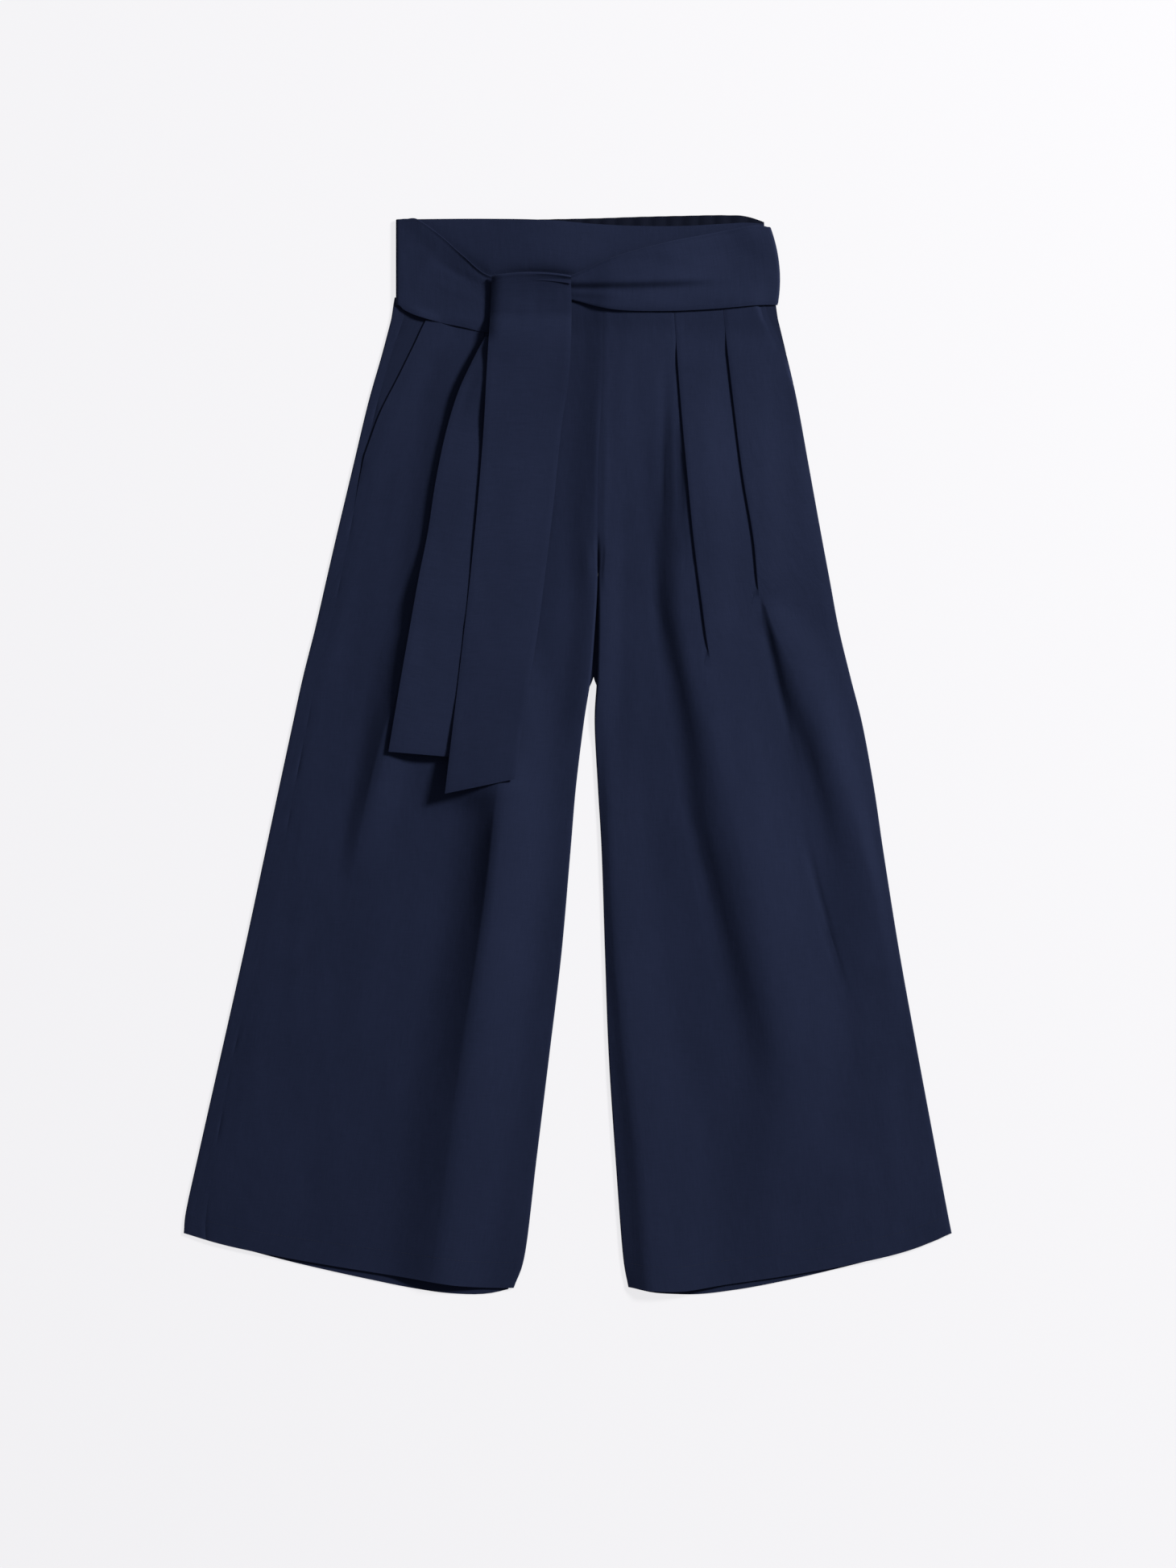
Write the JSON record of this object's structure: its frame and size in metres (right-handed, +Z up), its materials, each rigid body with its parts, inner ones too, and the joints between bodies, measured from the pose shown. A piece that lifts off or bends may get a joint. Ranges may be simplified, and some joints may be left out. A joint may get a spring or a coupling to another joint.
{
  "type": "pleated wide-leg trousers",
  "caption": "Pleated wide-leg trousers laid flat, front up, with an elastic-backed waistband and a broad tie belt whose ends hang to one side.",
  "frame": {"origin": "on the floor under the middle of the laid-out garment", "axes": "+Y towards the waist, +Z up out of the front of the garment, +X towards the wearer's left"},
  "size_m": [0.7246, 1.0175, 0.0178],
  "materials": {
    "navy_cloth": "soft matt twill with a faint sheen",
    "navy_cloth_shaded": "soft matt twill, the pieces that lie in shade"
  },
  "bodies": {
    "root": {"front_leg_right": "navy_cloth", "front_leg_left": "navy_cloth", "back_leg_right": "navy_cloth", "back_leg_left": "navy_cloth", "pocket_facing_right": "navy_cloth_shaded", "pocket_facing_left": "navy_cloth_shaded", "waistband_front": "navy_cloth", "waistband_back": "navy_cloth_shaded", "belt_wrap_right": "navy_cloth", "belt_wrap_left": "navy_cloth", "belt_end_front": "navy_cloth", "belt_end_rear": "navy_cloth"}
  },
  "joints": []
}
